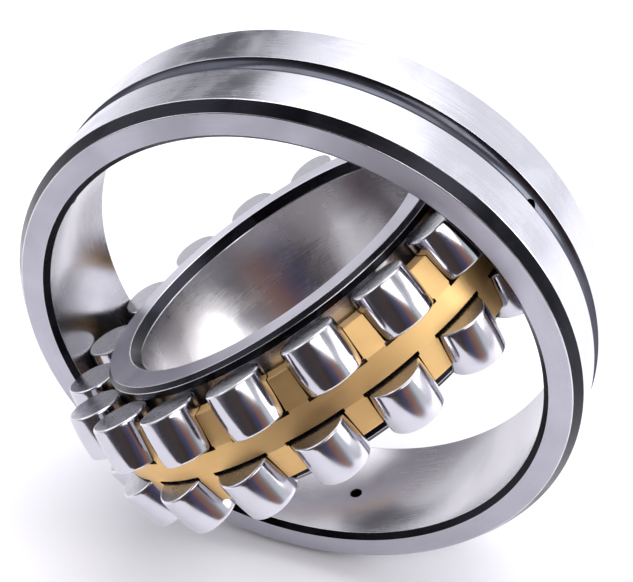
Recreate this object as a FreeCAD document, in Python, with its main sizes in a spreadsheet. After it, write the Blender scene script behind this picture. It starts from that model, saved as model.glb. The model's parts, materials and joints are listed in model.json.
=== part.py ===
import FreeCAD, Part
import os
import Sketcher

# Spherical roller bearing: outer ring with a spherical raceway, and inside it a
# swivelled unit of inner ring, guide ring, double-pronged cage and two rows of
# barrel rollers.  Lengths in millimetres, angles in degrees.
# The origin is the centre of the raceway sphere.  The outer ring stands on its
# outside face with its axis along Y, and Z is up.

Vector = FreeCAD.Vector
Rotation = FreeCAD.Rotation
Placement = FreeCAD.Placement

DIMENSIONS = {
    "outside_radius": 75.0,
    "bore_radius": 42.5,
    "half_width": 18.0,
    # outer ring
    "sphere_radius": 67.5,
    "race_edge": 16.5,
    "face_inner_radius": 67.0,
    "outside_chamfer_depth": 2.1,
    "outside_chamfer_length": 3.0,
    "oil_groove_half_width": 2.75,
    "oil_groove_depth": 1.8,
    "oil_hole_radius": 1.5,
    "oil_hole_angle": 41.8,
    # rollers
    "rollers_per_row": 18,
    "roller_radius": 7.5,
    "roller_length": 12.4,
    "roller_profile_radius": 65.5,
    "roller_corner": 0.7,
    "contact_angle": 9.2,
    "race_gap": 0.08,
    "first_roller_angle": 5.6,
    # inner ring
    "race_radius": 67.3,
    "race_reach": 6.45,
    "flange_radius": 51.6,
    "flange_chamfer": 1.2,
    "bore_chamfer_depth": 1.7,
    "bore_chamfer_length": 2.9,
    # guide ring
    "guide_inner_radius": 53.12,
    "guide_outer_radius": 57.6,
    "guide_inner_half_width": 2.1,
    "guide_outer_half_width": 2.8,
    # cage
    "cage_radius": 61.4,
    "cage_land": 3.4,
    "web_inner_radius": 57.9,
    "prong_inner_radius": 54.5,
    "prong_shoulder": 3.3,
    "prong_tip": 12.0,
    "prong_tip_radius": 59.7,
    "prong_tip_chamfer": 0.25,
    "prong_tip_bevel": 1.2,
    "pocket_gap": 0.15,
    "pocket_end_gap": 0.25,
    "pocket_relief": 0.35,
    "pocket_relief_length": 0.7,
    # position of the swivelled unit
    "swivel_axis_tilt": 38.1,
    "swivel_angle": 85.2,
}

document = FreeCAD.newDocument("spherical_roller_bearing")
sheet = document.addObject("Spreadsheet::Sheet", "dims")
for row, (name, number) in enumerate(DIMENSIONS.items(), start=1):
    sheet.set(f"A{row}", name)
    sheet.set(f"B{row}", str(number))
    sheet.setAlias(f"B{row}", name)
document.recompute()


def value(expression):
    """Number a sheet expression stands for."""
    result = sheet.evalExpression(expression)
    return float(getattr(result, "Value", result))


def origin_item(body, role):
    """Plane or axis of a body's own origin."""
    for item in body.Origin.OriginFeatures:
        if item.Role == role:
            return item
    raise ValueError(role)


def section_sketch(body, name, corners, arcs):
    """Closed half section on the XZ plane; corners are (radius, height) expressions.

    arcs maps the index of a side to (radius expression, bulge): +1 bulges away
    from the axis, -1 towards it.
    """
    sketch = body.newObject("Sketcher::SketchObject", name)
    sketch.AttachmentSupport = (origin_item(body, "XZ_Plane"), "")
    sketch.MapMode = "FlatFace"
    points = []
    for radius, height in corners:
        points.append(Vector(value(radius), value(height), 0))
    count = len(points)
    ends = {}
    for index in range(count):
        start = points[index]
        finish = points[(index + 1) % count]
        if index not in arcs:
            sketch.addGeometry(Part.LineSegment(start, finish), False)
            ends[index] = (1, 2)
            continue
        radius, bulge = arcs[index]
        size = value(radius)
        chord = finish - start
        sideways = Vector(chord.y, -chord.x, 0).normalize()
        if sideways.x * bulge < 0:
            sideways = -sideways
        middle = (start + finish) * 0.5
        sag = size - (size * size - chord.Length ** 2 / 4) ** 0.5
        number = sketch.addGeometry(Part.Arc(start, middle + sideways * sag, finish), False)
        from_start = (sketch.getPoint(number, 1) - start).Length < 1e-6
        ends[index] = (1, 2) if from_start else (2, 1)
        constraint = sketch.addConstraint(Sketcher.Constraint("Radius", number, size))
        sketch.setExpression(f"Constraints[{constraint}]", radius)
    for index in range(count):
        following = (index + 1) % count
        sketch.addConstraint(
            Sketcher.Constraint("Coincident", index, ends[index][1], following, ends[following][0])
        )
        for kind, expression in zip(("DistanceX", "DistanceY"), corners[index]):
            number = value(expression)
            place = (index, ends[index][0])
            if abs(number) < 1e-9:
                axis = -2 if kind == "DistanceX" else -1
                sketch.addConstraint(Sketcher.Constraint("PointOnObject", *place, axis))
                continue
            pair = (-1, 1, *place) if number > 0 else (*place, -1, 1)
            constraint = sketch.addConstraint(Sketcher.Constraint(kind, *pair, abs(number)))
            bound = expression if number > 0 else f"-({expression})"
            sketch.setExpression(f"Constraints[{constraint}]", bound)
    return sketch


def new_body(label, placement):
    body = document.addObject("PartDesign::Body", label)
    body.Label = label
    body.Placement = placement
    return body


def revolve(body, name, sketch, kind="PartDesign::Revolution"):
    feature = body.newObject(kind, name)
    feature.Profile = sketch
    feature.ReferenceAxis = (sketch, ["V_Axis"])
    feature.Angle = 360
    sketch.Visibility = False
    document.recompute()
    return feature


def circles_of_radius(shape, radius, heights):
    """Names of the circular edges of one radius at the given heights."""
    names = []
    for index, edge in enumerate(shape.Edges, start=1):
        curve = edge.Curve
        if not isinstance(curve, Part.Circle) or abs(curve.Radius - radius) > 1e-4:
            continue
        if any(abs(curve.Center.z - height) < 1e-4 for height in heights):
            names.append(f"Edge{index}")
    return names


def mirrored(upper):
    """Half section above the middle plane, repeated below it in reverse order."""
    lower = []
    for radius, height in reversed(upper):
        lower.append((radius, f"-({height})"))
    return upper + lower


# the ring's own Z axis is laid along Y
RING_PLACEMENT = Placement(Vector(0, 0, 0), Rotation(Vector(1, 0, 0), -90))

# the swivelled unit: its Z axis starts along Y, its X axis is the swivel axis
swivel_axis = Rotation(Vector(0, 1, 0), -value("dims.swivel_axis_tilt")).multVec(Vector(1, 0, 0))
aligned = Rotation(swivel_axis, Vector(0, 1, 0).cross(swivel_axis), Vector(0, 1, 0), "ZXY")
swivelled = Rotation(swivel_axis, value("dims.swivel_angle")).multiply(aligned)
UNIT_PLACEMENT = Placement(Vector(0, 0, 0), swivelled)


def build_outer_ring():
    body = new_body("outer_ring", RING_PLACEMENT)
    race_edge_radius = "sqrt(dims.sphere_radius^2 - dims.race_edge^2)"
    upper = [
        (race_edge_radius, "dims.race_edge"),
        ("dims.face_inner_radius", "dims.half_width"),
        ("dims.outside_radius - dims.outside_chamfer_depth", "dims.half_width"),
        ("dims.outside_radius", "dims.half_width - dims.outside_chamfer_length"),
    ]
    corners = mirrored(upper)
    arcs = {len(corners) - 1: ("dims.sphere_radius", 1)}
    ring = revolve(body, "ring", section_sketch(body, "ring_section", corners, arcs))

    depth = "dims.oil_groove_depth"
    half_width = "dims.oil_groove_half_width"
    groove_radius = f"({half_width}^2 + {depth}^2) / (2 * {depth})"
    groove_corners = [
        ("dims.outside_radius", f"-{half_width}"),
        ("dims.outside_radius", half_width),
    ]
    groove_sketch = section_sketch(body, "oil_groove_section", groove_corners, {1: (groove_radius, -1)})
    groove = revolve(body, "oil_groove", groove_sketch, "PartDesign::Groove")
    if groove.Shape.Volume >= ring.Shape.Volume:
        raise ValueError("oil groove cut nothing")

    drill = body.newObject("PartDesign::SubtractiveCylinder", "oil_hole")
    drill.setExpression("Radius", "dims.oil_hole_radius")
    drill.setExpression("Height", "dims.outside_radius")
    direction = Rotation(Vector(0, 0, 1), Vector(1, 0, 0))
    turn = Rotation(Vector(0, 0, 1), -value("dims.oil_hole_angle"))
    drill.Placement = Placement(Vector(0, 0, 0), turn.multiply(direction))
    document.recompute()
    pattern = body.newObject("PartDesign::PolarPattern", "oil_holes")
    pattern.Originals = [drill]
    pattern.Axis = (origin_item(body, "Z_Axis"), [""])
    pattern.Angle = 360
    pattern.Occurrences = 3
    body.Tip = pattern
    document.recompute()
    if pattern.Shape.Volume >= drill.Shape.Volume:
        raise ValueError("oil holes cut nothing")
    return body


def inner_race_point(reach):
    """Radius and height of a raceway point, reach measured along the roller axis."""
    sag = f"(dims.race_radius - sqrt(dims.race_radius^2 - ({reach})^2))"
    depth = f"(dims.sphere_radius - 2 * dims.roller_radius - 2 * dims.race_gap + {sag})"
    angle = "dims.contact_angle"
    radius = f"{depth} * cos({angle}) - ({reach}) * sin({angle})"
    height = f"{depth} * sin({angle}) + ({reach}) * cos({angle})"
    return radius, height


def build_inner_ring():
    body = new_body("inner_ring", UNIT_PLACEMENT)
    race_start = inner_race_point("-dims.race_reach")
    race_end = inner_race_point("dims.race_reach")
    flange_height = f"{race_end[1]} + (dims.flange_radius - ({race_end[0]})) * tan(dims.contact_angle)"
    upper = [
        race_start,
        race_end,
        ("dims.flange_radius", flange_height),
        ("dims.flange_radius", "dims.half_width - dims.flange_chamfer"),
        ("dims.flange_radius - dims.flange_chamfer", "dims.half_width"),
        ("dims.bore_radius + dims.bore_chamfer_depth", "dims.half_width"),
        ("dims.bore_radius", "dims.half_width - dims.bore_chamfer_length"),
    ]
    corners = mirrored(upper)
    lower_race = len(corners) - 2
    arcs = {0: ("dims.race_radius", -1), lower_race: ("dims.race_radius", -1)}
    revolve(body, "ring", section_sketch(body, "ring_section", corners, arcs))
    return body


def build_guide_ring():
    body = new_body("guide_ring", UNIT_PLACEMENT)
    upper = [
        ("dims.guide_outer_radius", "dims.guide_outer_half_width"),
        ("dims.guide_inner_radius", "dims.guide_inner_half_width"),
    ]
    revolve(body, "ring", section_sketch(body, "ring_section", mirrored(upper), {}))
    return body


def roller_placement(side, angle, along):
    """Placement inside the unit; local Z is the roller axis, towards +Z of the unit.

    side is +1 or -1 for the row, along a distance from the roller's middle.
    """
    tilt = value("dims.contact_angle") * side
    orbit = value("dims.sphere_radius - dims.roller_radius - dims.race_gap")
    turn = Rotation(Vector(0, 0, 1), angle)
    lean = Rotation(Vector(0, 1, 0), -tilt)
    rotation = turn.multiply(lean)
    return Placement(rotation.multVec(Vector(orbit, 0, along)), rotation)


def build_cage():
    body = new_body("cage", UNIT_PLACEMENT)
    chamfer = "dims.prong_tip_chamfer"
    bevel = "dims.prong_tip_bevel"
    upper = [
        ("dims.cage_radius", "dims.cage_land"),
        ("dims.prong_tip_radius", f"dims.prong_tip - {chamfer}"),
        (f"dims.prong_tip_radius - {chamfer}", "dims.prong_tip"),
        (f"dims.prong_inner_radius + {bevel}", "dims.prong_tip"),
        ("dims.prong_inner_radius", f"dims.prong_tip - {bevel}"),
        ("dims.prong_inner_radius", "dims.prong_shoulder"),
        ("dims.web_inner_radius", "dims.prong_shoulder"),
    ]
    previous = revolve(body, "blank", section_sketch(body, "blank_section", mirrored(upper), {}))

    rollers = int(value("dims.rollers_per_row"))
    pitch = 360 / rollers
    half_pocket = value("dims.roller_length / 2 + dims.pocket_end_gap")
    for side, row in ((1, "a"), (-1, "b")):
        angle = value("dims.first_roller_angle") + (0 if side > 0 else pitch / 2)
        for name, extra, start, depth in (
            ("relief", "dims.pocket_relief", 0, "dims.pocket_relief_length"),
            ("pocket", "0", value("dims.pocket_relief_length / 2"), "2 * dims.roller_length"),
        ):
            drill = body.newObject("PartDesign::SubtractiveCylinder", f"{name}_{row}")
            drill.setExpression("Radius", f"dims.roller_radius + dims.pocket_gap + {extra}")
            drill.setExpression("Height", depth)
            # the drill enters from the open end, its seam on the side nearest the bore
            floor = roller_placement(side, angle, side * (start - half_pocket))
            facing = Rotation(Vector(0, 0, 1), 180) if side > 0 else Rotation(Vector(0, 1, 0), 180)
            floor.Rotation = floor.Rotation.multiply(facing)
            drill.Placement = floor
            document.recompute()
            if len(drill.Shape.Faces) <= len(previous.Shape.Faces):
                raise ValueError(f"{name} in row {row} cut nothing")
            pattern = body.newObject("PartDesign::PolarPattern", f"{name}_{row}_ring")
            pattern.Originals = [drill]
            pattern.Axis = (origin_item(body, "Z_Axis"), [""])
            pattern.Angle = 360
            pattern.Occurrences = rollers
            body.Tip = pattern
            document.recompute()
            if len(pattern.Shape.Faces) <= len(drill.Shape.Faces):
                raise ValueError(f"{name} pattern of row {row} cut nothing")
            previous = pattern
    return body


def build_roller(label, side, angle):
    body = new_body(label, UNIT_PLACEMENT.multiply(roller_placement(side, angle, 0)))
    half = "dims.roller_length / 2"
    profile = "dims.roller_profile_radius"
    end_radius = f"dims.roller_radius - {profile} + sqrt({profile}^2 - ({half})^2)"
    corners = [
        ("0", f"-{half}"),
        (end_radius, f"-{half}"),
        (end_radius, half),
        ("0", half),
    ]
    barrel = revolve(body, "barrel", section_sketch(body, "barrel_section", corners, {1: (profile, 1)}))
    rim = body.newObject("PartDesign::Fillet", "rounded_rims")
    heights = (value(half), -value(half))
    rim.Base = (barrel, circles_of_radius(barrel.Shape, value(end_radius), heights))
    rim.setExpression("Radius", "dims.roller_corner")
    body.Tip = rim
    document.recompute()
    if rim.Shape.Volume >= barrel.Shape.Volume:
        raise ValueError(f"rims of {label} were not rounded")
    return body


bodies = [build_outer_ring(), build_guide_ring(), build_inner_ring(), build_cage()]
per_row = int(value("dims.rollers_per_row"))
for side, row in ((1, "a"), (-1, "b")):
    for number in range(per_row):
        shift = number if side > 0 else number + 0.5
        angle = value("dims.first_roller_angle") + 360 / per_row * shift
        bodies.append(build_roller(f"roller_{row}_{number + 1:02d}", side, angle))

document.recompute()
for item in document.Objects:
    if "Invalid" in item.State or "Error" in item.State:
        raise ValueError(f"{item.Name} is {item.State}")
os.makedirs("parts", exist_ok=True)
for body in bodies:
    shape = body.Shape
    if shape.isNull() or not shape.isValid():
        raise ValueError(f"{body.Label} has no valid shape")
    shape.exportStep(f"parts/{body.Label}.step")
    print(body.Label, round(shape.Volume, 2), len(shape.Solids))
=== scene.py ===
import bpy, bmesh
import json, math
from mathutils import Matrix, Vector


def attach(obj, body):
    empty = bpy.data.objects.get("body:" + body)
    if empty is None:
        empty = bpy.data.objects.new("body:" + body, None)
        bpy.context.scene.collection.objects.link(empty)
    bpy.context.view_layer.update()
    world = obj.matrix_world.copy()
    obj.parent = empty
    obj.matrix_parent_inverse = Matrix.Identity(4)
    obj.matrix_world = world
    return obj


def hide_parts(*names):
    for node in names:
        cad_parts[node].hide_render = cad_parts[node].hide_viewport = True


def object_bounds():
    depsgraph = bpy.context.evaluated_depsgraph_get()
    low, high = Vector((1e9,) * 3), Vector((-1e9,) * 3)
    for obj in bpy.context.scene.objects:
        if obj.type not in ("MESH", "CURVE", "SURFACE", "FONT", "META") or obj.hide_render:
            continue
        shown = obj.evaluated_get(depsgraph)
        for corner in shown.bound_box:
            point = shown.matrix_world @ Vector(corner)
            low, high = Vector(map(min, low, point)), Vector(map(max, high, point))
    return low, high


# Spherical roller bearing, swivelled open: outer ring on edge, brass cage and rollers round the inner ring
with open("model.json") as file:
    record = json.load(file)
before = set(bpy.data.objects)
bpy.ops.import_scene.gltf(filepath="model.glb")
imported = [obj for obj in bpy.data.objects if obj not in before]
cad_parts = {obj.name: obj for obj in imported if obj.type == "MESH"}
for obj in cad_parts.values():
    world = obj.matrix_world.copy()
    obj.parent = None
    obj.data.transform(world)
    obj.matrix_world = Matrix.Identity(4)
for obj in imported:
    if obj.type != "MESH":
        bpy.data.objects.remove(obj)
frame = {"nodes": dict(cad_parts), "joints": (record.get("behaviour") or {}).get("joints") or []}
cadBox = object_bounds()
scene = bpy.context.scene
joints = {j["name"]: j for j in frame["joints"]}
mm = 0.001
print("frame loaded:", len(frame["nodes"]), "nodes")


def axesToMatrix(across, along, origin=(0, 0, 0)):
    # along becomes local Z, across local X
    z = Vector(along).normalized()
    x = Vector(across)
    x = (x - z * x.dot(z)).normalized()
    y = z.cross(x)
    place = Matrix((x, y, z)).transposed().to_4x4()
    place.translation = Vector(origin)
    return place


def arcBetween(start, end, radius, bulge, steps):
    # points from start to end on an arc, bulge +1 swells away from the axis, -1 towards it
    a, b = Vector(start), Vector(end)
    chord = b - a
    side = Vector((chord.y, -chord.x)).normalized()
    if side.x * bulge < 0:
        side = -side
    half = chord.length / 2
    centre = (a + b) / 2 - side * math.sqrt(radius * radius - half * half)
    startTurn = math.atan2(a.y - centre.y, a.x - centre.x)
    sweep = math.atan2(b.y - centre.y, b.x - centre.x) - startTurn
    while sweep > math.pi:
        sweep -= 2 * math.pi
    while sweep < -math.pi:
        sweep += 2 * math.pi
    points = []
    for i in range(steps + 1):
        turn = startTurn + sweep * i / steps
        points.append((centre.x + radius * math.cos(turn), centre.y + radius * math.sin(turn)))
    return points


def roundCorners(corners, steps=3, closed=True):
    # corners are (radius, height, rounding, finish); the finish belongs to the side that starts there
    out = []
    count = len(corners)
    for i, (r, h, rounding, finish) in enumerate(corners):
        if rounding <= 0 or (not closed and i in (0, count - 1)):
            out.append((r, h, finish))
            continue
        here = Vector((r, h))
        before = Vector(corners[i - 1][:2]) - here
        after = Vector(corners[(i + 1) % count][:2]) - here
        angle = before.angle(after)
        reach = min(rounding / math.tan(angle / 2), before.length * 0.4, after.length * 0.4)
        radius = reach * math.tan(angle / 2)
        first, last = here + before.normalized() * reach, here + after.normalized() * reach
        middle = here + (before.normalized() + after.normalized()).normalized() * radius / math.sin(angle / 2)
        a, b = first - middle, last - middle
        turn = a.angle_signed(b)
        for k in range(steps + 1):
            t = -turn * k / steps
            spoke = Vector((a.x * math.cos(t) - a.y * math.sin(t), a.x * math.sin(t) + a.y * math.cos(t)))
            out.append((middle.x + spoke.x, middle.y + spoke.y, finish if k == steps else "edge"))
    return out


def lathe(name, outline, segments, finishes, closed=True):
    # turns an outline of (radius, height, finish) in millimetres round Z, one material slot for each finish
    shape = bmesh.new()
    rows = []
    for i in range(segments):
        c, s = math.cos(2 * math.pi * i / segments), math.sin(2 * math.pi * i / segments)
        rows.append([shape.verts.new((r * mm * c, r * mm * s, h * mm)) for r, h, _ in outline])
    sides = len(outline) if closed else len(outline) - 1
    for i in range(segments):
        now, following = rows[i], rows[(i + 1) % segments]
        for k in range(sides):
            n = (k + 1) % len(outline)
            face = shape.faces.new((now[k], following[k], following[n], now[n]))
            face.smooth = True
            face.material_index = finishes.index(outline[k][2])
    bmesh.ops.remove_doubles(shape, verts=shape.verts, dist=1e-7)
    bmesh.ops.dissolve_degenerate(shape, edges=shape.edges, dist=1e-8)
    bmesh.ops.recalc_face_normals(shape, faces=shape.faces)
    mesh = bpy.data.meshes.new(name)
    shape.to_mesh(mesh)
    shape.free()
    return mesh


def place(name, mesh, matrix, materials):
    piece = bpy.data.objects.new(name, mesh)
    scene.collection.objects.link(piece)
    piece.matrix_world = matrix
    if not mesh.materials:
        for m in materials:
            mesh.materials.append(m)
    return piece


def steadyNormals(piece):
    # keeps flat faces flat beside their small rounded edges
    weighted = piece.modifiers.new("steadyNormals", "WEIGHTED_NORMAL")
    weighted.keep_sharp = True
    weighted.weight = 80


def standFor(piece, body):
    # the piece rides the body of the CAD node it replaces
    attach(piece, body)
    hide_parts(body)


def applyModifiers(piece):
    bpy.context.view_layer.update()
    ready = piece.evaluated_get(bpy.context.evaluated_depsgraph_get())
    mesh = bpy.data.meshes.new_from_object(ready)
    old = piece.data
    piece.modifiers.clear()
    piece.data = mesh
    bpy.data.meshes.remove(old)


def cutAway(piece, cutter):
    cut = piece.modifiers.new("cut", "BOOLEAN")
    cut.operation = "DIFFERENCE"
    cut.solver = "EXACT"
    cut.object = cutter
    applyModifiers(piece)
    piece.data.set_sharp_from_angle(angle=math.radians(35))  # so a drilled edge doesn't shade its face
    bpy.data.objects.remove(cutter)


def newGroup(name, inputs, outputs):
    group = bpy.data.node_groups.new(name, "ShaderNodeTree")
    for socketName, kind, default in inputs:
        socket = group.interface.new_socket(name=socketName, in_out="INPUT", socket_type=kind)
        if default is not None:
            socket.default_value = default
    for socketName, kind in outputs:
        group.interface.new_socket(name=socketName, in_out="OUTPUT", socket_type=kind)
    start = group.nodes.new("NodeGroupInput")
    end = group.nodes.new("NodeGroupOutput")
    return group, start, end


def mathNode(tree, operation, a, b=None, clamp=False):
    node = tree.nodes.new("ShaderNodeMath")
    node.operation = operation
    node.use_clamp = clamp
    for socket, item in zip(node.inputs, (a, b)):
        if item is None:
            continue
        if isinstance(item, (int, float)):
            socket.default_value = item
        else:
            tree.links.new(item, socket)
    return node.outputs[0]


def makeTurnedMarks():
    # fine lines that run round the local Z axis, on cylinders and on flat faces alike
    group, start, end = newGroup(
        "turnedMarks",
        [("Vector", "NodeSocketVector", None), ("Lines Per Metre", "NodeSocketFloat", 4000.0),
         ("Length", "NodeSocketFloat", 3.0), ("Unevenness", "NodeSocketFloat", 0.5)],
        [("Lines", "NodeSocketFloat")])
    links = group.links
    split = group.nodes.new("ShaderNodeSeparateXYZ")
    links.new(start.outputs["Vector"], split.inputs[0])
    x, y, z = split.outputs
    squares = mathNode(group, "ADD", mathNode(group, "MULTIPLY", x, x), mathNode(group, "MULTIPLY", y, y))
    radius = mathNode(group, "SQRT", squares)
    safe = mathNode(group, "MAXIMUM", radius, 1e-5)  # the axis itself has no direction round it
    around = group.nodes.new("ShaderNodeCombineXYZ")
    for part, socket in ((x, around.inputs[0]), (y, around.inputs[1])):
        unit = mathNode(group, "DIVIDE", part, safe)
        links.new(mathNode(group, "MULTIPLY", unit, start.outputs["Length"]), socket)
    # radius and height together, so the lines show on a cylinder, a face and a chamfer
    across = mathNode(group, "ADD", radius, mathNode(group, "MULTIPLY", z, 1.31))
    links.new(mathNode(group, "MULTIPLY", across, start.outputs["Lines Per Metre"]), around.inputs[2])
    fine = group.nodes.new("ShaderNodeTexNoise")
    fine.inputs["Scale"].default_value = 1.0
    fine.inputs["Detail"].default_value = 3.0
    fine.inputs["Roughness"].default_value = 0.65
    links.new(around.outputs[0], fine.inputs["Vector"])
    patch = group.nodes.new("ShaderNodeTexNoise")
    patch.inputs["Scale"].default_value = 55.0
    patch.inputs["Detail"].default_value = 4.0
    links.new(start.outputs["Vector"], patch.inputs["Vector"])
    offset = mathNode(group, "SUBTRACT", patch.outputs["Fac"], 0.5)
    swing = mathNode(group, "MULTIPLY", offset, start.outputs["Unevenness"])
    links.new(mathNode(group, "ADD", fine.outputs["Fac"], swing, clamp=True), end.inputs["Lines"])
    return group


def makeHandling():
    # faint smears, oil film and tiny nicks
    group, start, end = newGroup(
        "handling",
        [("Vector", "NodeSocketVector", None), ("Smear Scale", "NodeSocketFloat", 60.0),
         ("Nick Scale", "NodeSocketFloat", 900.0)],
        [("Smear", "NodeSocketFloat"), ("Nicks", "NodeSocketFloat")])
    smear = group.nodes.new("ShaderNodeTexNoise")
    smear.inputs["Detail"].default_value = 5.0
    smear.inputs["Distortion"].default_value = 0.6
    group.links.new(start.outputs["Vector"], smear.inputs["Vector"])
    group.links.new(start.outputs["Smear Scale"], smear.inputs["Scale"])
    soft = group.nodes.new("ShaderNodeMapRange")
    soft.inputs["From Min"].default_value = 0.35
    soft.inputs["From Max"].default_value = 0.7
    group.links.new(smear.outputs["Fac"], soft.inputs["Value"])
    group.links.new(soft.outputs[0], end.inputs["Smear"])
    nick = group.nodes.new("ShaderNodeTexVoronoi")
    nick.inputs["Randomness"].default_value = 1.0
    group.links.new(start.outputs["Vector"], nick.inputs["Vector"])
    group.links.new(start.outputs["Nick Scale"], nick.inputs["Scale"])
    point = group.nodes.new("ShaderNodeMapRange")
    point.inputs["From Min"].default_value = 0.12
    point.inputs["From Max"].default_value = 0.03
    group.links.new(nick.outputs["Distance"], point.inputs["Value"])
    group.links.new(point.outputs[0], end.inputs["Nicks"])
    return group


turnedMarks = makeTurnedMarks()
handling = makeHandling()


def makeMetal(name, look):
    # lines and scales are per metre, bumpDepth is in millimetres
    material = bpy.data.materials.new(name)
    material.use_nodes = True
    tree = material.node_tree
    shader = tree.nodes["Principled BSDF"]
    links = tree.links
    coords = tree.nodes.new("ShaderNodeTexCoord")
    marks = tree.nodes.new("ShaderNodeGroup")
    marks.node_tree = turnedMarks
    marks.inputs["Lines Per Metre"].default_value = look["lines"]
    marks.inputs["Length"].default_value = look["lineLength"]
    marks.inputs["Unevenness"].default_value = look["unevenness"]
    links.new(coords.outputs["Object"], marks.inputs["Vector"])
    dirt = tree.nodes.new("ShaderNodeGroup")
    dirt.node_tree = handling
    dirt.inputs["Smear Scale"].default_value = look["smearScale"]
    dirt.inputs["Nick Scale"].default_value = look["nickScale"]
    links.new(coords.outputs["Object"], dirt.inputs["Vector"])

    tone = tree.nodes.new("ShaderNodeMix")
    tone.data_type = "RGBA"
    tone.inputs["A"].default_value = (*look["dark"], 1)
    tone.inputs["B"].default_value = (*look["light"], 1)
    links.new(marks.outputs["Lines"], tone.inputs["Factor"])
    worn = tree.nodes.new("ShaderNodeMix")
    worn.data_type = "RGBA"
    worn.inputs["B"].default_value = (*look["smear"], 1)
    links.new(tone.outputs["Result"], worn.inputs["A"])
    links.new(mathNode(tree, "MULTIPLY", dirt.outputs["Smear"], look["smearAmount"]), worn.inputs["Factor"])
    links.new(worn.outputs["Result"], shader.inputs["Base Color"])

    rough = tree.nodes.new("ShaderNodeMapRange")
    rough.inputs["From Min"].default_value = 0.3
    rough.inputs["From Max"].default_value = 0.7
    rough.inputs["To Min"].default_value = look["roughness"][0]
    rough.inputs["To Max"].default_value = look["roughness"][1]
    fromLines = mathNode(tree, "MULTIPLY", marks.outputs["Lines"], 0.55)
    fromSmear = mathNode(tree, "MULTIPLY", dirt.outputs["Smear"], 0.45)
    links.new(mathNode(tree, "ADD", fromLines, fromSmear), rough.inputs["Value"])
    links.new(rough.outputs[0], shader.inputs["Roughness"])

    nicks = mathNode(tree, "MULTIPLY", dirt.outputs["Nicks"], look["nickDepth"])
    height = mathNode(tree, "SUBTRACT", marks.outputs["Lines"], nicks)
    bump = tree.nodes.new("ShaderNodeBump")
    bump.inputs["Strength"].default_value = look["bump"]
    bump.inputs["Distance"].default_value = look["bumpDepth"] * mm
    links.new(height, bump.inputs["Height"])
    links.new(bump.outputs[0], shader.inputs["Normal"])
    shader.inputs["Metallic"].default_value = 1.0
    shader.inputs["Anisotropic"].default_value = look.get("anisotropic", 0.0)
    if "anisotropic" in look:  # highlights stretch across marks that run round the axis
        tangent = tree.nodes.new("ShaderNodeTangent")
        tangent.direction_type = "RADIAL"
        tangent.axis = "Z"
        links.new(tangent.outputs[0], shader.inputs["Tangent"])
    return material


steelLook = {
    "ground": dict(
        dark=(0.50, 0.50, 0.55), light=(0.67, 0.67, 0.73), smear=(0.52, 0.52, 0.56), smearAmount=0.35,
        lines=5200.0, lineLength=4.0, unevenness=0.5, smearScale=70.0, nickScale=420.0, nickDepth=0.6,
        roughness=(0.20, 0.34), bump=0.18, bumpDepth=0.02, anisotropic=0.45),
    "face": dict(
        dark=(0.41, 0.40, 0.455), light=(0.54, 0.53, 0.595), smear=(0.37, 0.36, 0.41), smearAmount=0.3,
        lines=6500.0, lineLength=9.0, unevenness=0.35, smearScale=50.0, nickScale=380.0, nickDepth=0.8,
        roughness=(0.30, 0.44), bump=0.2, bumpDepth=0.02, anisotropic=0.2),
    "raceway": dict(
        dark=(0.46, 0.45, 0.47), light=(0.58, 0.57, 0.60), smear=(0.38, 0.37, 0.39), smearAmount=0.4,
        lines=9000.0, lineLength=5.0, unevenness=0.5, smearScale=45.0, nickScale=500.0, nickDepth=0.5,
        roughness=(0.17, 0.30), bump=0.1, bumpDepth=0.015, anisotropic=0.35),
    "bore": dict(
        dark=(0.42, 0.41, 0.43), light=(0.58, 0.57, 0.60), smear=(0.40, 0.36, 0.34), smearAmount=0.4,
        lines=5200.0, lineLength=4.0, unevenness=0.6, smearScale=60.0, nickScale=420.0, nickDepth=0.6,
        roughness=(0.20, 0.34), bump=0.16, bumpDepth=0.02, anisotropic=0.5),
    "scale": dict(
        dark=(0.007, 0.007, 0.010), light=(0.024, 0.024, 0.030), smear=(0.05, 0.05, 0.06), smearAmount=0.2,
        lines=2600.0, lineLength=3.0, unevenness=0.6, smearScale=90.0, nickScale=300.0, nickDepth=1.0,
        roughness=(0.20, 0.36), bump=0.3, bumpDepth=0.03),
    "groove": dict(
        dark=(0.03, 0.03, 0.04), light=(0.13, 0.135, 0.165), smear=(0.05, 0.05, 0.06), smearAmount=0.5,
        lines=2400.0, lineLength=3.0, unevenness=0.6, smearScale=80.0, nickScale=300.0, nickDepth=1.0,
        roughness=(0.16, 0.30), bump=0.25, bumpDepth=0.03),
    "edge": dict(
        dark=(0.55, 0.55, 0.58), light=(0.78, 0.78, 0.80), smear=(0.40, 0.40, 0.43), smearAmount=0.4,
        lines=3000.0, lineLength=5.0, unevenness=0.6, smearScale=160.0, nickScale=350.0, nickDepth=1.2,
        roughness=(0.16, 0.30), bump=0.3, bumpDepth=0.02),
}
# scale is near-black: the black skin left on unground chamfers, and on the inner ring's flanges and bore
# chamfers also painted shade and painted dark reflection, edge the burnished line along a corner
steel = {finish: makeMetal(finish + "Steel", look) for finish, look in steelLook.items()}
print("steel finishes:", len(steel))

# the unit is everything that swivels inside the outer ring
unitAcross = Vector(joints["swivel"]["axis"])
unitAxis = Vector(joints["inner_ring_spin"]["axis"])
unitPlace = axesToMatrix(unitAcross, unitAxis, joints["inner_ring_spin"]["pos_m"])
outerPlace = axesToMatrix((1, 0, 0), (0, 1, 0))

outerRing = {
    "outsideRadius": 75.0, "halfWidth": 18.0, "sphereRadius": 67.5, "raceEdge": 16.5, "faceInner": 67.0,
    "chamferIn": 2.1, "chamferAlong": 3.0, "grooveHalf": 2.75, "grooveDepth": 1.8,
    "holes": 3, "holeRadius": 1.5, "holeAngle": 41.8, "holeRim": 0.25, "holeSides": 40,
    "segments": 360, "grooveSteps": 18, "raceSteps": 44,
}


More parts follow.
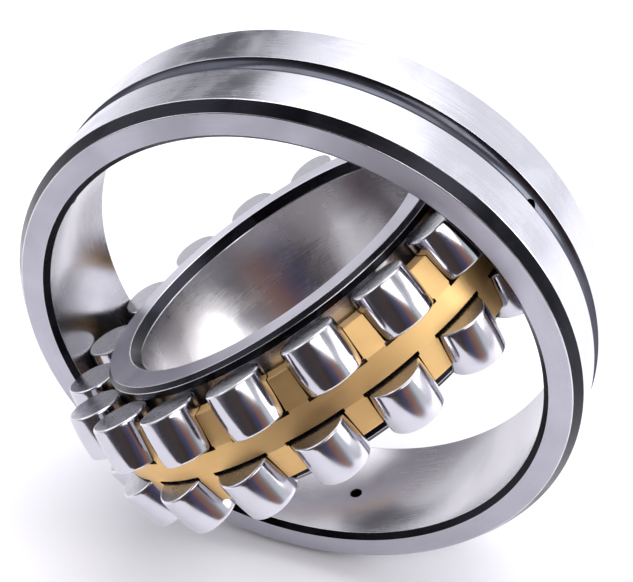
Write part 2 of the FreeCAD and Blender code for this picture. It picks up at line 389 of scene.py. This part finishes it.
def buildOuterRing(d):
    raceRadius = math.sqrt(d["sphereRadius"] ** 2 - d["raceEdge"] ** 2)
    grooveRadius = (d["grooveHalf"] ** 2 + d["grooveDepth"] ** 2) / (2 * d["grooveDepth"])
    upper = [
        (raceRadius, d["raceEdge"], 0.15, "scale"),
        (d["faceInner"], d["halfWidth"], 0.12, "face"),
        (d["outsideRadius"] - d["chamferIn"], d["halfWidth"], 0.35, "scale"),
        (d["outsideRadius"], d["halfWidth"] - d["chamferAlong"], 0.45, "ground"),
    ]
    steps = d["grooveSteps"]
    grooveEnds = (d["outsideRadius"], d["grooveHalf"]), (d["outsideRadius"], -d["grooveHalf"])
    groove = arcBetween(*grooveEnds, grooveRadius, -1, steps)
    groovePoints = [(r, h, 0.12 if i in (0, steps) else 0.0, "groove") for i, (r, h) in enumerate(groove)]
    groovePoints[-1] = (*groove[-1], 0.12, "ground")
    lower = [
        (d["outsideRadius"], -d["halfWidth"] + d["chamferAlong"], 0.45, "scale"),
        (d["outsideRadius"] - d["chamferIn"], -d["halfWidth"], 0.35, "face"),
        (d["faceInner"], -d["halfWidth"], 0.12, "scale"),
    ]
    raceEnds = (raceRadius, -d["raceEdge"]), (raceRadius, d["raceEdge"])
    race = arcBetween(*raceEnds, d["sphereRadius"], 1, d["raceSteps"])
    racePoints = [(r, h, 0.15 if i == 0 else 0.0, "raceway") for i, (r, h) in enumerate(race[:-1])]
    outline = roundCorners(upper + groovePoints + lower + racePoints)
    finishes = ["ground", "face", "raceway", "scale", "groove", "edge"]
    mesh = lathe("outerRing", outline, d["segments"], finishes)
    ring = place("outerRing", mesh, outerPlace, [steel[f] for f in finishes])
    # each oil hole flares a little where it opens into the raceway
    rimRadius = d["holeRadius"] + d["holeRim"]
    inside, outside = d["sphereRadius"] - 7.5, d["outsideRadius"] + 5
    drill = [
        (0, inside, "scale"), (rimRadius + 4, inside, "scale"),
        (rimRadius, d["sphereRadius"] - 0.05, "scale"),
        (d["holeRadius"], d["sphereRadius"] + d["holeRim"], "scale"),
        (d["holeRadius"], outside, "scale"), (0, outside, "scale"),
    ]
    for k in range(d["holes"]):
        turn = math.radians(d["holeAngle"] + 360 / d["holes"] * k)
        outward = Vector((math.cos(turn), 0, math.sin(turn)))
        cutterMesh = lathe("oilHole", drill, d["holeSides"], finishes, closed=False)
        cutter = place("oilHole", cutterMesh, axesToMatrix((0, 1, 0), outward), [steel[f] for f in finishes])
        cutAway(ring, cutter)
    steadyNormals(ring)
    standFor(ring, "outer_ring")
    return ring


outer = buildOuterRing(outerRing)
print("outer ring turned and drilled:", len(outer.data.polygons), "faces")

innerRing = {
    "boreRadius": 42.5, "halfWidth": 18.0, "boreChamferIn": 1.7, "boreChamferAlong": 2.9,
    "flangeRadius": 51.6, "flangeChamfer": 1.2, "raceRadius": 67.3, "raceReach": 6.45,
    "sphereRadius": 67.5, "rollerRadius": 7.5, "raceGap": 0.08, "contactAngle": 9.2,
    "segments": 320, "raceSteps": 20,
}


def innerRacePoint(d, reach):
    # a point of the near raceway, reach millimetres along the roller from its middle
    lean = math.radians(d["contactAngle"])
    sag = d["raceRadius"] - math.sqrt(d["raceRadius"] ** 2 - reach ** 2)
    depth = d["sphereRadius"] - 2 * d["rollerRadius"] - 2 * d["raceGap"] + sag
    return depth * math.cos(lean) - reach * math.sin(lean), depth * math.sin(lean) + reach * math.cos(lean)


def buildInnerRing(d):
    raceStart, raceEnd = innerRacePoint(d, -d["raceReach"]), innerRacePoint(d, d["raceReach"])
    shoulder = raceEnd[1] + (d["flangeRadius"] - raceEnd[0]) * math.tan(math.radians(d["contactAngle"]))
    race = arcBetween(raceStart, raceEnd, d["raceRadius"], -1, d["raceSteps"])
    upper = [(r, h, 0.0, "raceway") for r, h in race[:-1]] + [
        # the flanges and the bore chamfer take the near-black scale, here also painted shade and painted dark
        # reflection
        (raceEnd[0], raceEnd[1], 0.1, "scale"),
        (d["flangeRadius"], shoulder, 0.12, "scale"),
        (d["flangeRadius"], d["halfWidth"] - d["flangeChamfer"], 0.25, "scale"),
        (d["flangeRadius"] - d["flangeChamfer"], d["halfWidth"], 0.2, "face"),
        (d["boreRadius"] + d["boreChamferIn"], d["halfWidth"], 0.3, "scale"),
        (d["boreRadius"], d["halfWidth"] - d["boreChamferAlong"], 0.6, "bore"),
    ]
    # finishes of the mirrored half belong to the side before each corner
    lower = []
    for i in range(len(upper) - 1, -1, -1):
        r, h, rounding, _ = upper[i]
        lower.append((r, -h, rounding, upper[i - 1][3] if i else "raceway"))
    outline = roundCorners(upper + lower)
    finishes = ["raceway", "scale", "face", "bore", "edge"]
    mesh = lathe("innerRing", outline, d["segments"], finishes)
    ring = place("innerRing", mesh, unitPlace, [steel[f] for f in finishes])
    steadyNormals(ring)
    standFor(ring, "inner_ring")
    return ring


inner = buildInnerRing(innerRing)
print("inner ring turned:", len(inner.data.polygons), "faces")

guideRing = {
    "innerRadius": 53.12, "outerRadius": 57.6, "innerHalf": 2.1, "outerHalf": 2.8, "rounding": 0.25,
    "segments": 256,
}


def buildGuideRing(d):
    corners = [
        (d["outerRadius"], -d["outerHalf"], d["rounding"], "ground"),
        (d["outerRadius"], d["outerHalf"], d["rounding"], "face"),
        (d["innerRadius"], d["innerHalf"], d["rounding"], "ground"),
        (d["innerRadius"], -d["innerHalf"], d["rounding"], "face"),
    ]
    finishes = ["ground", "face", "edge"]
    mesh = lathe("guideRing", roundCorners(corners), d["segments"], finishes)
    ring = place("guideRing", mesh, unitPlace, [steel[f] for f in finishes])
    steadyNormals(ring)
    standFor(ring, "guide_ring")
    return ring


guide = buildGuideRing(guideRing)
print("guide ring turned:", len(guide.data.polygons), "faces")

roller = {
    "radius": 7.5, "length": 12.4, "profileRadius": 65.5, "corner": 0.7,
    "segments": 96, "profileSteps": 18, "cornerSteps": 5,
}
rollerLook = {
    "barrel": dict(
        dark=(0.50, 0.49, 0.54), light=(0.61, 0.60, 0.65), smear=(0.44, 0.43, 0.47), smearAmount=0.25,
        lines=9000.0, lineLength=3.0, unevenness=0.4, smearScale=120.0, nickScale=500.0, nickDepth=0.4,
        roughness=(0.10, 0.18), bump=0.06, bumpDepth=0.01, anisotropic=0.3),
    # the roller ends are darker than the barrels as painted shade for the shadowed pocket gap they face
    "rollerEnd": dict(
        dark=(0.36, 0.36, 0.39), light=(0.48, 0.48, 0.51), smear=(0.32, 0.32, 0.34), smearAmount=0.2,
        lines=5200.0, lineLength=3.0, unevenness=0.3, smearScale=140.0, nickScale=500.0, nickDepth=0.3,
        roughness=(0.24, 0.36), bump=0.08, bumpDepth=0.015),
}
rollerSteel = {finish: makeMetal(finish + "Steel", look) for finish, look in rollerLook.items()}
rollerSteel["edge"] = steel["edge"]
rollerJoints = [joint for name, joint in joints.items() if name.startswith("roller_")]


def buildRollers(d):
    half = d["length"] / 2
    sag = d["profileRadius"] - math.sqrt(d["profileRadius"] ** 2 - half ** 2)
    rim = d["radius"] - sag
    barrel = arcBetween((rim, half), (rim, -half), d["profileRadius"], 1, d["profileSteps"])
    corners = [(0, half, 0, "rollerEnd"), (rim, half, d["corner"], "barrel")]
    corners += [(r, h, 0, "barrel") for r, h in barrel[2:-2]]  # the corner rounding takes the rest
    corners += [(rim, -half, d["corner"], "rollerEnd"), (0, -half, 0, "rollerEnd")]
    finishes = ["rollerEnd", "barrel", "edge"]
    outline = roundCorners(corners, steps=d["cornerSteps"], closed=False)
    mesh = lathe("roller", outline, d["segments"], finishes, closed=False)
    made = []
    for joint in rollerJoints:
        body = joint["child"]
        matrix = axesToMatrix(unitAxis.cross(Vector(joint["pos_m"])), joint["axis"], joint["pos_m"])
        piece = place(body + "_barrel", mesh, matrix, [rollerSteel[f] for f in finishes])
        steadyNormals(piece)
        standFor(piece, body)
        made.append(piece)
    return made


rollers = buildRollers(roller)
print("rollers placed:", len(rollers))

cageShape = {
    "landRadius": 61.4, "land": 3.4, "tipRadius": 59.7, "tip": 12.0, "tipChamfer": 0.25, "tipBevel": 1.2,
    "prongInner": 54.5, "shoulder": 3.3, "webInner": 57.9,
    # pockets are measured from the middle of their roller, and a wider relief clears the roller's corner
    "pocketRadius": 7.65, "pocketFloor": 6.95, "reliefRadius": 8.05, "reliefLength": 1.0, "drillReach": 15,
    "segments": 360, "pocketSides": 72,
}
brassLook = dict(
    dark=(0.73, 0.47, 0.20), light=(0.85, 0.58, 0.265), smear=(0.65, 0.41, 0.17), smearAmount=0.2,
    lines=3200.0, lineLength=4.0, unevenness=0.4, smearScale=60.0, nickScale=350.0, nickDepth=0.6,
    roughness=(0.46, 0.56), bump=0.10, bumpDepth=0.02)
# the pocket brass is dark brown as painted shade: it stands in for the deep shadow inside each roller pocket
pocketShadeLook = dict(
    dark=(0.16, 0.09, 0.035), light=(0.30, 0.18, 0.07), smear=(0.10, 0.06, 0.03), smearAmount=0.5,
    lines=2600.0, lineLength=3.0, unevenness=0.5, smearScale=150.0, nickScale=400.0, nickDepth=0.6,
    roughness=(0.35, 0.50), bump=0.2, bumpDepth=0.02)
brass = {"turned": makeMetal("turnedBrass", brassLook), "pocket": makeMetal("pocketShadeBrass", pocketShadeLook)}


def buildCage(d):
    upper = [
        (d["landRadius"], d["land"], 0.3, "turned"),
        (d["tipRadius"], d["tip"] - d["tipChamfer"], 0, "turned"),
        (d["tipRadius"] - d["tipChamfer"], d["tip"], 0, "turned"),
        (d["prongInner"] + d["tipBevel"], d["tip"], 0.1, "turned"),
        (d["prongInner"], d["tip"] - d["tipBevel"], 0.1, "turned"),
        (d["prongInner"], d["shoulder"], 0, "turned"),
        (d["webInner"], d["shoulder"], 0, "turned"),
    ]
    outline = roundCorners(upper + [(r, -h, rounding, finish) for r, h, rounding, finish in reversed(upper)])
    outline = [(r, h, "turned") for r, h, _ in outline]
    finishes = ["turned", "pocket"]
    mesh = lathe("cageRing", outline, d["segments"], finishes)
    piece = place("cageRing", mesh, unitPlace, [brass[f] for f in finishes])
    # one stepped drill for each roller, entering from the open end of its pocket; the walls it cuts take the
    # dark pocket brass, which is painted shade
    floor, step = -d["pocketFloor"], -d["pocketFloor"] + d["reliefLength"]
    drill = [
        (0, floor, "pocket"), (d["reliefRadius"], floor, "pocket"), (d["reliefRadius"], step, "pocket"),
        (d["pocketRadius"], step, "pocket"), (d["pocketRadius"], d["drillReach"], "pocket"),
        (0, d["drillReach"], "pocket"),
    ]
    shape = bmesh.new()
    for joint in rollerJoints:
        centre, along = Vector(joint["pos_m"]), Vector(joint["axis"])
        if centre.dot(unitAxis) < 0:
            along = -along
        bit = lathe("drill", drill, d["pocketSides"], finishes, closed=False)
        bit.transform(axesToMatrix(centre, along, centre))
        shape.from_mesh(bit)
        bpy.data.meshes.remove(bit)
    bits = bpy.data.meshes.new("drills")
    shape.to_mesh(bits)
    shape.free()
    cutAway(piece, place("drills", bits, Matrix.Identity(4), [brass[f] for f in finishes]))
    steadyNormals(piece)
    standFor(piece, "cage")
    return piece


cage = buildCage(cageShape)
print("cage turned and drilled:", len(cage.data.polygons), "faces")

studio = {
    # the paper runs from a little in front of the bearing to far behind it
    "floorFront": -0.245, "floorBack": 2.5, "floorSide": 2.2, "floorDrop": 0.0002,
    "floorColor": (0.93, 0.925, 0.955), "floorRoughness": 0.6,
    "backdrop": (0.97, 0.965, 1.0),
    "ceiling": (0.50, 0.50, 0.53), "ceilingFade": (0.3, 0.8), "ceilingLean": 1.2,
    # the white sweep behind has one dark gap, turned to the left from straight behind (radians)
    "sweep": (1.12, 1.12, 1.17), "sweepFade": (0.1, 0.4), "gap": (0.10, 0.10, 0.115), "gapTurn": 0.60,
    "gapFade": (0.10, 0.16),
    # what the dim side of the room shows, from the right round the front to the left
    "roomSide": [
        (0.00, (0.88, 0.90, 0.93)), (0.085, (0.78, 0.84, 0.87)), (0.125, (0.34, 0.38, 0.40)),
        (0.17, (0.38, 0.22, 0.17)), (0.24, (0.29, 0.15, 0.12)), (0.29, (0.085, 0.09, 0.18)),
        (0.345, (0.07, 0.075, 0.13)), (0.38, (0.07, 0.05, 0.045)), (0.46, (0.09, 0.07, 0.065)),
        (0.60, (0.07, 0.065, 0.075)), (0.72, (0.26, 0.26, 0.30)), (1.00, (0.50, 0.50, 0.55)),
    ],
    "lights": {
        "overhead": dict(place=(-0.1, 0.6, 1.3), size=(1.7, 1.2), power=16.5, color=(1.0, 0.99, 1.0)),
        "right": dict(place=(1.0, 0.36, 0.36), size=(0.8, 0.5), power=6.0, color=(1.0, 1.0, 1.0)),
        "rightHigh": dict(place=(0.72, -0.72, 1.05), size=(1.0, 0.6), power=6.5, color=(1.0, 1.0, 1.0)),
        "left": dict(place=(-1.1, -0.25, 0.75), size=(1.2, 0.9), power=3.6, color=(0.93, 0.95, 1.0)),
    },
}


def buildRoom(d):
    # pale to the camera; for reflections a white sweep behind, a grey ceiling and a dim room in front
    world = bpy.data.worlds.new("softRoom")
    scene.world = world
    world.use_nodes = True
    tree = world.node_tree
    links = tree.links

    def fadeNode(source, low, high):
        node = tree.nodes.new("ShaderNodeMapRange")
        node.interpolation_type = "SMOOTHSTEP"
        node.inputs["From Min"].default_value = low
        node.inputs["From Max"].default_value = high
        links.new(source, node.inputs["Value"])
        return node.outputs[0]

    def mixNode(a, b, factor):
        node = tree.nodes.new("ShaderNodeMix")
        node.data_type = "RGBA"
        for socket, item in zip(("A", "B"), (a, b)):
            if isinstance(item, tuple):
                node.inputs[socket].default_value = (*item, 1)
            else:
                links.new(item, node.inputs[socket])
        links.new(factor, node.inputs["Factor"])
        return node.outputs["Result"]

    direction = tree.nodes.new("ShaderNodeTexCoord")
    split = tree.nodes.new("ShaderNodeSeparateXYZ")
    links.new(direction.outputs["Generated"], split.inputs[0])
    x, y, z = split.outputs
    turn = mathNode(tree, "ARCTAN2", mathNode(tree, "MULTIPLY", y, -1.0), x)
    ramp = tree.nodes.new("ShaderNodeValToRGB")
    stops = ramp.color_ramp.elements
    for i, (position, color) in enumerate(d["roomSide"]):
        stop = stops[0] if i == 0 else stops.new(position)
        stop.position = position
        stop.color = (*color, 1)
    stops.remove(stops[-1])
    links.new(mathNode(tree, "DIVIDE", turn, math.pi), ramp.inputs[0])
    high = mathNode(tree, "ADD", z, mathNode(tree, "MULTIPLY", y, d["ceilingLean"]))
    room = mixNode(ramp.outputs[0], d["ceiling"], fadeNode(high, *d["ceilingFade"]))
    back = mathNode(tree, "ARCTAN2", mathNode(tree, "MULTIPLY", x, -1.0), y)
    offGap = mathNode(tree, "ABSOLUTE", mathNode(tree, "SUBTRACT", back, d["gapTurn"]))
    sweep = mixNode(d["gap"], d["sweep"], fadeNode(offGap, *d["gapFade"]))
    room = mixNode(room, sweep, fadeNode(y, *d["sweepFade"]))
    rays = tree.nodes.new("ShaderNodeLightPath")
    room = mixNode(room, d["backdrop"], rays.outputs["Is Camera Ray"])
    links.new(room, tree.nodes["Background"].inputs["Color"])


def buildStudio(d):
    shape = bmesh.new()
    bmesh.ops.create_grid(shape, x_segments=8, y_segments=8, size=0.5)
    mesh = bpy.data.meshes.new("floor")
    shape.to_mesh(mesh)
    shape.free()
    floor = bpy.data.objects.new("floor", mesh)
    scene.collection.objects.link(floor)
    floor.location = (0, (d["floorFront"] + d["floorBack"]) / 2, cadBox[0][2] - d["floorDrop"])
    floor.scale = (2 * d["floorSide"], d["floorBack"] - d["floorFront"], 1)
    paper = bpy.data.materials.new("floorPaper")
    paper.use_nodes = True
    shader = paper.node_tree.nodes["Principled BSDF"]
    shader.inputs["Base Color"].default_value = (*d["floorColor"], 1)
    shader.inputs["Roughness"].default_value = d["floorRoughness"]
    mesh.materials.append(paper)
    for name, light in d["lights"].items():
        lamp = bpy.data.lights.new(name, "AREA")
        lamp.shape = "RECTANGLE"
        lamp.size, lamp.size_y = light["size"]
        lamp.energy = light["power"]
        lamp.color = light["color"]
        holder = bpy.data.objects.new(name, lamp)
        scene.collection.objects.link(holder)
        holder.location = light["place"]
        aim = -Vector(light["place"])  # every light looks at the bearing's centre
        holder.rotation_euler = aim.to_track_quat("-Z", "Y").to_euler()


cameraView = {
    "place": (0.10412, -0.30731, 0.29465), "forward": (-0.23590, 0.70976, -0.66377),
    "right": (0.94896, 0.31539, 0.0), "lens": 96.03, "sensor": 36.0, "nearest": 0.01, "furthest": 20.0,
}


def buildCamera(d):
    optics = bpy.data.cameras.new("camera")
    camera = bpy.data.objects.new("camera", optics)
    scene.collection.objects.link(camera)
    optics.lens = d["lens"]
    optics.sensor_width = d["sensor"]
    optics.sensor_fit = "HORIZONTAL"
    optics.clip_start = d["nearest"]
    optics.clip_end = d["furthest"]
    optics.dof.use_dof = False
    camera.matrix_world = axesToMatrix(d["right"], -Vector(d["forward"]), d["place"])
    scene.camera = camera


buildRoom(studio)
buildStudio(studio)
buildCamera(cameraView)
scene.view_settings.view_transform = "Standard"
print("studio ready")
